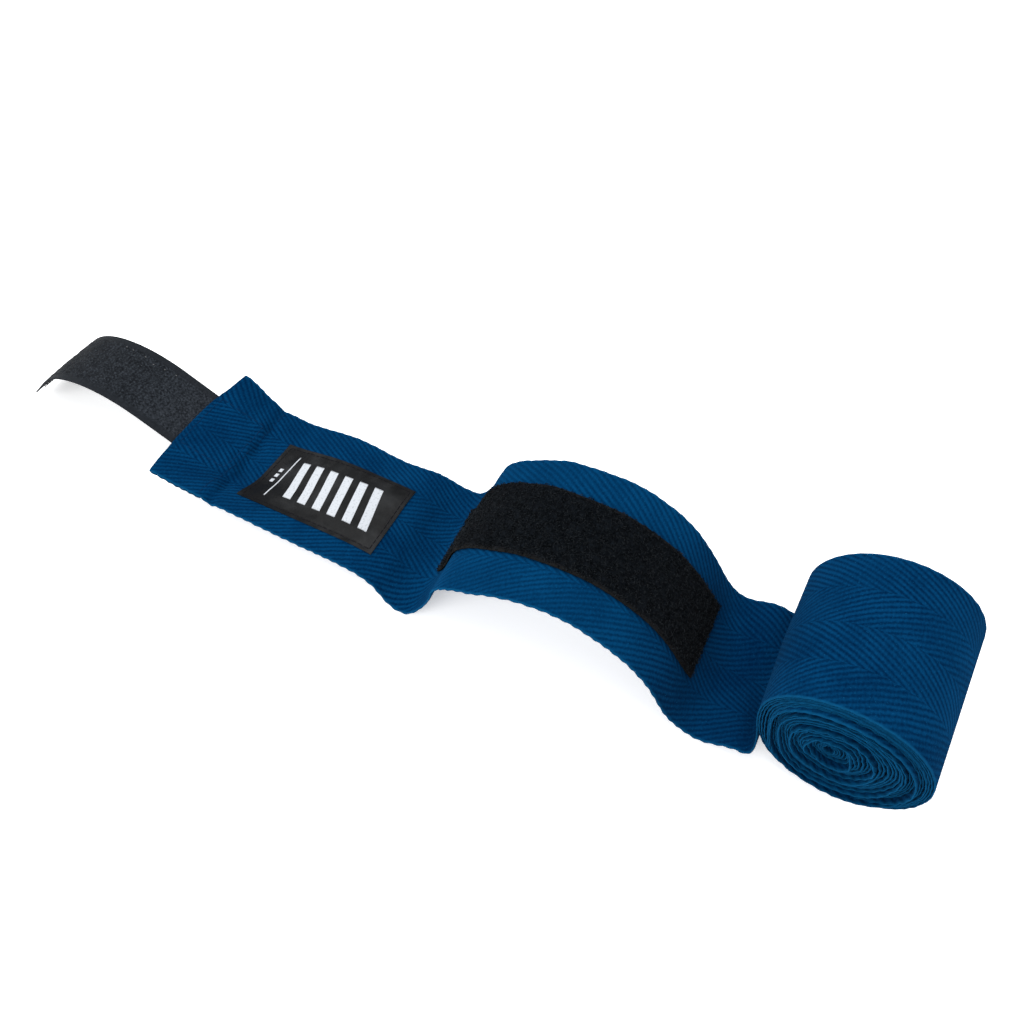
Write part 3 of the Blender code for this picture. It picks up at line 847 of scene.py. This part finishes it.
def pile_loops(name, v_from, v_to):
    """The patch's short loops, turned and leaning every way."""
    count = int((v_to - v_from) * STRAP_WIDTH * PILE_DENSITY)
    v = random.uniform(v_from, v_to, count)
    u = STRAP_OFFSET + random.uniform(-12.9, 12.9, count)
    point, side, along, up = axes_at(tape, v, u, PATCH_BASE + PATCH_PILE - 0.02)
    turn, lean = random.uniform(0, 2 * np.pi, (2, count, 1))
    tilt = random.uniform(0, 0.75, (count, 1))
    forward = along * np.cos(turn) + side * np.sin(turn)
    upward = up * np.cos(tilt) + (along * np.cos(lean) + side * np.sin(lean)) * np.sin(tilt)
    sideways = unit(np.cross(forward, upward))
    size = random.uniform(0.75, 1.25, (count, 1))
    return place_copies(name, point, sideways * size, np.cross(upward, sideways) * size,
                        upward * size, *loop_form(), loop_material)


loop_material = pile_thread()
for number, (v_from, v_to) in enumerate(zip(patch_knots[:-1], patch_knots[1:])):
    joint, before_body, after_body, _, _, before, after = BENDS[number + 1]
    turn = (joint, before_body, after_body, before, after)
    span = after_body if number < 4 else "leg_left_foot"
    nodes = {0: ("leg_right", "shoulder_right"), 4: ("leg_left",)}.get(number, (after_body,))
    v_rows = steps_between(v_from, v_to, 0.45)
    vv, uu = np.meshgrid(v_rows, patch_stations, indexing="ij")
    tufts = 0.16 * cell_noise(vv, uu, 1.3, 3) + 0.12 * cell_noise(vv, uu, 0.62, 4)
    from_ends = np.minimum(vv - patch_start, patch_end - vv)
    tufts = tufts - 0.35 * (1 - smooth(from_ends, -0.3, 1.2))
    tufts = tufts * smooth(abs(uu), 13.0, 12.3)
    patch = cloth_strip("pile_patch_" + span, tape, v_rows, PATCH_BASE + PATCH_PILE / 2,
                        patch_stations, PATCH_PILE, pile, offset=STRAP_OFFSET, raised=tufts)
    bend(patch, *turn)
    stand_for(patch, "black_loop_pile", *["loop_patch_" + node for node in nodes])
    rows = [[(v_from + 0.8, u), (v_to - 0.4, u)]
            for u in (STRAP_OFFSET - seam_reach, STRAP_OFFSET + seam_reach)]
    seam = stitches("patch_seams_" + span, tape, rows, PATCH_BASE + PATCH_PILE - 0.12, black_thread)
    bend(seam, *turn)
    loops = pile_loops("pile_loops_" + span, v_from, v_to)
    bend(loops, *turn)
    stand_for(seam, "black_thread",
              *["patch_seam_%s_%s" % (side, node) for node in nodes for side in ("near", "far")])


# ---- label

LABEL_THICKNESS = 0.35
LABEL_HEIGHT = TAPE_THICKNESS / 2 + 0.1 + LABEL_THICKNESS / 2
LABEL_INSET = 1.4             # of the stitches from the label's edge


def on_label(v, u, h=0.0):
    """The label's surface: it puffs up a little inside its stitches and puckers at them."""
    inset_v = np.minimum(v - V_LABEL_START, V_LABEL_END - v)
    inset_u = LABEL_WIDTH / 2 - abs(u - LABEL_OFFSET)
    inset = np.minimum(inset_v, inset_u)
    puff = 0.45 * smooth(inset, LABEL_INSET, 8) - 0.08 * bump_at(inset, LABEL_INSET, 0.5)
    pucker = 0.10 * np.sin(2 * np.pi * v / 6.1 + u / 5) * smooth(inset_u, 7, 1) * smooth(inset_u, 0, 1.5)
    soft = 0.16 * np.sin(v / 4.3 + 0.8 * np.sin(u / 3.7)) * smooth(inset, LABEL_INSET, 6)
    return tape(v, u, h + LABEL_HEIGHT + puff + pucker + soft)


label = cloth_strip("label_cloth", on_label, steps_between(V_LABEL_START, V_LABEL_END, 0.7), 0.0,
                    columns_for(LABEL_WIDTH, LABEL_THICKNESS, 0.7), LABEL_THICKNESS, label_cloth,
                    offset=LABEL_OFFSET)
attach(label, "label_panel")
stand_for(label, "black_satin", "size_label")


def frame_line(low_v, high_v, low_u, high_u):
    """The closed line round a rectangle of cloth."""
    return [(low_v, low_u), (low_v, high_u), (high_v, high_u), (high_v, low_u), (low_v, low_u)]


seam_u = LABEL_WIDTH / 2 - LABEL_INSET
label_frame = frame_line(V_LABEL_START + LABEL_INSET, V_LABEL_END - LABEL_INSET,
                         LABEL_OFFSET - seam_u, LABEL_OFFSET + seam_u)
label_seam = stitches("label_seam", on_label, [label_frame], LABEL_THICKNESS / 2, black_thread,
                      pitch=2.3, width=0.4)
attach(label_seam, "label_panel")
stand_for(label_seam, "black_thread", "label_stitching")


def print_bar(corners):
    """A thin closed bar of ink on the label between four (v, u) corners."""
    a, b, c, d = np.array(corners)[:, :, None, None]
    s, t = np.meshgrid(np.linspace(-0.1, 1.1, 13), np.linspace(0, 1, 29), indexing="ij")
    v, u = (a * (1 - t) + b * t) * (1 - s) + (d * (1 - t) + c * t) * s
    half = np.full(s.shape, 0.03)
    half[:, [0, -1]] = 0
    return sheet_mesh(on_label(v, u, LABEL_THICKNESS / 2 + 0.035), half, np.stack([u, v], -1))


def bar_corners(v, u, wide, tall, slant=0.0):
    """Corners of a bar that starts at v, tall across the tape round u, its far end slanted on."""
    low, high = u - tall / 2, u + tall / 2
    return (v, low), (v + slant, high), (v + slant + wide, high), (v + wide, low)


def label_print():
    """A plain mark: a row of slanted bars, a thin line and three small squares."""
    first_bar, line_v = V_LABEL_START + 5.5, V_LABEL_END - 8.6
    bars = [bar_corners(first_bar + 6.2 * number, LABEL_OFFSET, 3.3, 17.0, slant=3.6)
            for number in range(6)]
    bars.append(bar_corners(line_v, LABEL_OFFSET, 0.5, 21.0))
    bars += [bar_corners(line_v + 2.6, LABEL_OFFSET + 2.6 * number, 1.6, 1.6)
             for number in (-1, 0, 1)]
    vertices, bar_faces, uv, normals = zip(*[print_bar(bar) for bar in bars])
    faces = [[corner + number * len(vertices[0]) for corner in face]
             for number, some in enumerate(bar_faces) for face in some]
    return add_object("label_print", np.concatenate(vertices), faces, print_ink(),
                      np.concatenate(uv), np.concatenate(normals))


mark = label_print()
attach(mark, "label_panel")


# ---- hem stitches and strap

hem_line = V_END - FOLD_UNDER + 1.5
box = frame_line(V_END - 18.5, V_END - 1.5, STRAP_OFFSET - 11.5, STRAP_OFFSET + 11.5)
for name, node, line in (("hem_seam_thread", "hem_seam", [(hem_line, -23.5), (hem_line, 23.5)]),
                         ("strap_box_thread", "strap_box_stitching", box)):
    seam = stitches(name, tape, [line], TAPE_THICKNESS / 2, blue_thread, pitch=2.4)
    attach(seam, "hem")
    stand_for(seam, "blue_thread", node)

STRAP_CLOTH = 0.55
strap_stations = columns_for(STRAP_WIDTH, STRAP_CLOTH, 0.8)
# each part's name, its joint, the body before it, and the cloth before and after its bend line
STRAP_PIECES = (
    ("root", "strap_lift", "hem", 0.5, 9.0),
    ("middle", "strap_straighten", "strap_root", 13.0, 13.0),
    ("tip", "strap_tip_straighten", "strap_middle", 12.0, 14.0),
)
strap_ends = (0.0, *strap_knot_v[2:4], strap_path.v[-1])


def hook_form():
    """One moulded hook: a stem that leans and curls over, pointing down its own z."""
    spine = [(0, 0, 0.1), (0, 0.02, -0.35), (0, 0.16, -0.62), (0, 0.40, -0.66), (0, 0.52, -0.48)]
    widths = (0.16, 0.13, 0.12, 0.10, 0.06)
    vertices = []
    for (x, y, z), width in zip(spine, widths):
        vertices += [(x - width, y - width, z), (x + width, y - width, z),
                     (x + width, y + width, z), (x - width, y + width, z)]
    return np.array(vertices), tube_faces(len(spine), 4)


def strap_bend(piece, part, joint, before_body, before, after):
    bend(piece, joint, before_body, "strap_" + part, before, after, place=strap, path=strap_path)


hooks_material = moulded_hooks()
for strap_piece, v_from, v_to in zip(STRAP_PIECES, strap_ends[:-1], strap_ends[1:]):
    part = strap_piece[0]
    v_rows = steps_between(v_from, v_to, 0.6)
    vv, uu = np.meshgrid(v_rows, strap_stations, indexing="ij")
    lumps = 0.20 * cell_noise(vv, uu, 1.1, 11) * smooth(abs(uu), 10.6, 9.6)
    piece = cloth_strip("strap_cloth_" + part, strap, v_rows, 0.0, strap_stations, STRAP_CLOTH,
                        strap_cloth, raised=lumps)
    strap_bend(piece, *strap_piece)
    sewn_end = ["hook_strap_sewn_end"] if part == "root" else []
    stand_for(piece, "black_hook_tape", "hook_strap_" + part, *sewn_end)

    spots = [(v, u) for v in np.arange(v_from + 0.75, v_to - 0.7, 1.5)
             for u in np.arange(-9.2, 9.21, 1.15)]
    v, u = np.array(spots).T
    v = v + random.uniform(-0.15, 0.15, len(v))
    hooks = place_copies("strap_hooks_" + part, *axes_at(strap, v, u, -STRAP_CLOTH / 2),
                         *hook_form(), hooks_material)
    strap_bend(hooks, *strap_piece)


def light_flecks(v_from, v_to):
    """Small light-grey flecks in a row along the strap's far side."""
    v = np.arange(v_from, v_to, 4.7)
    v = v + random.uniform(-0.8, 0.8, len(v))
    u = 8.9 + random.uniform(-1.0, 0.8, len(v))
    return place_copies("strap_light_flecks", *axes_at(strap, v, u, STRAP_CLOTH / 2 + 0.12),
                        *capsule(0.6, 0.34, 0.3, rings=5),
                        thread("strap_fleck_grey", (0.05, 0.05, 0.05), (0.16, 0.165, 0.17)))


strap_flecks = light_flecks(strap_knot_v[2] + 2, strap_knot_v[3] - 1)
strap_bend(strap_flecks, *STRAP_PIECES[1])


# ---- thumb loop

LOOP_WIDTH = 12.0


def thumb_loop():
    """A closed band of webbing, pressed flat and rolled up in the core."""
    centre = ROLL_CENTRE + CORE_SHIFT[0] * ROLL_ACROSS + CORE_SHIFT[1] * Z
    turned = np.linspace(0, 1.35, 120)
    outer, inner = (round_roll(centre, -2 * np.pi * turned, 3.9 - 1.75 * turned + offset)
                    for offset in (0.42, -0.42))
    middle = np.concatenate([outer, inner[::-1], outer[:1]])
    middle = np.concatenate([middle[-2:-1], middle, middle[1:2]])
    line = Path(middle[1:-1], np.tile(ROLL_AXIS, (len(middle) - 2, 1)))
    rows = steps_between(0, line.v[-1] - 0.4, 0.4)
    stations = columns_for(LOOP_WIDTH, 0.55, 1.0)

    piece = cloth_strip("thumb_loop_webbing", line.strip, rows, 0.0, stations, 0.5, webbing())
    return piece, line.v[-1]


loop_piece, loop_length = thumb_loop()
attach(loop_piece, "roll")
stand_for(loop_piece, "blue_webbing", "thumb_loop")


# ---- floor, lights, camera

FLOOR_DROP = 0.00035          # in metres; the flattened arch's edge sinks almost this far


def pale_floor():
    material = bpy.data.materials.new("pale_floor")
    material.use_nodes = True
    set_inputs(material.node_tree.nodes["Principled BSDF"], Base_Color=(0.93, 0.93, 0.93, 1),
               Roughness=0.9, Specular_IOR_Level=0.1, Emission_Color=(1, 1, 1, 1),
               Emission_Strength=0.35)
    mesh = bpy.data.meshes.new("floor")
    reach = 4.0
    mesh.from_pydata([(-reach, -reach, 0), (reach, -reach, 0), (reach, reach, 0), (-reach, reach, 0)],
                     [], [(0, 1, 2, 3)])
    mesh.materials.append(material)
    item = link("floor", mesh)
    item.location.z = -FLOOR_DROP


def soft_light(name, location, target, size, power):
    data = bpy.data.lights.new(name, "AREA")
    data.shape, data.size, data.energy = "DISK", size, power
    item = link(name, data)
    item.location = location
    item.rotation_euler = (Vector(target) - Vector(location)).to_track_quat("-Z", "Y").to_euler()


def light_scene():
    world = bpy.data.worlds.new("studio")
    world.use_nodes = True
    set_inputs(world.node_tree.nodes["Background"], Color=(0.96, 0.98, 1.0, 1), Strength=0.75)
    bpy.context.scene.world = world
    soft_light("overhead", (-0.15, 0.25, 1.2), (0, 0, 0), 1.0, 11)
    soft_light("front", (-0.2, -1.0, 0.75), (0.03, 0, 0.02), 1.1, 11)
    soft_light("left", (-1.1, 0.1, 0.6), (0, 0, 0.01), 1.0, 6.5)
    soft_light("right", (1.1, 0.2, 0.6), (0, 0, 0.01), 1.0, 4)
    bpy.context.scene.view_settings.view_transform = "Standard"


def set_camera():
    heading, pitch, tilt = math.radians(27.6), math.radians(53.69), -0.006
    forward = Vector((-math.sin(heading) * math.cos(pitch), math.cos(heading) * math.cos(pitch),
                      -math.sin(pitch)))
    level = Vector((math.cos(heading), math.sin(heading), 0))
    right = level * math.cos(tilt) + level.cross(forward) * math.sin(tilt)
    up = right.cross(forward)
    data = bpy.data.cameras.new("camera")
    data.sensor_width, data.lens = 36.0, 28.57
    data.clip_start = 0.01
    item = link("camera", data)
    item.matrix_world = Matrix((right, up, -forward)).transposed().to_4x4()
    item.location = (0.10013, -0.12749, 0.22822)
    bpy.context.scene.camera = item


pale_floor()
light_scene()
set_camera()

bpy.context.view_layer.update()
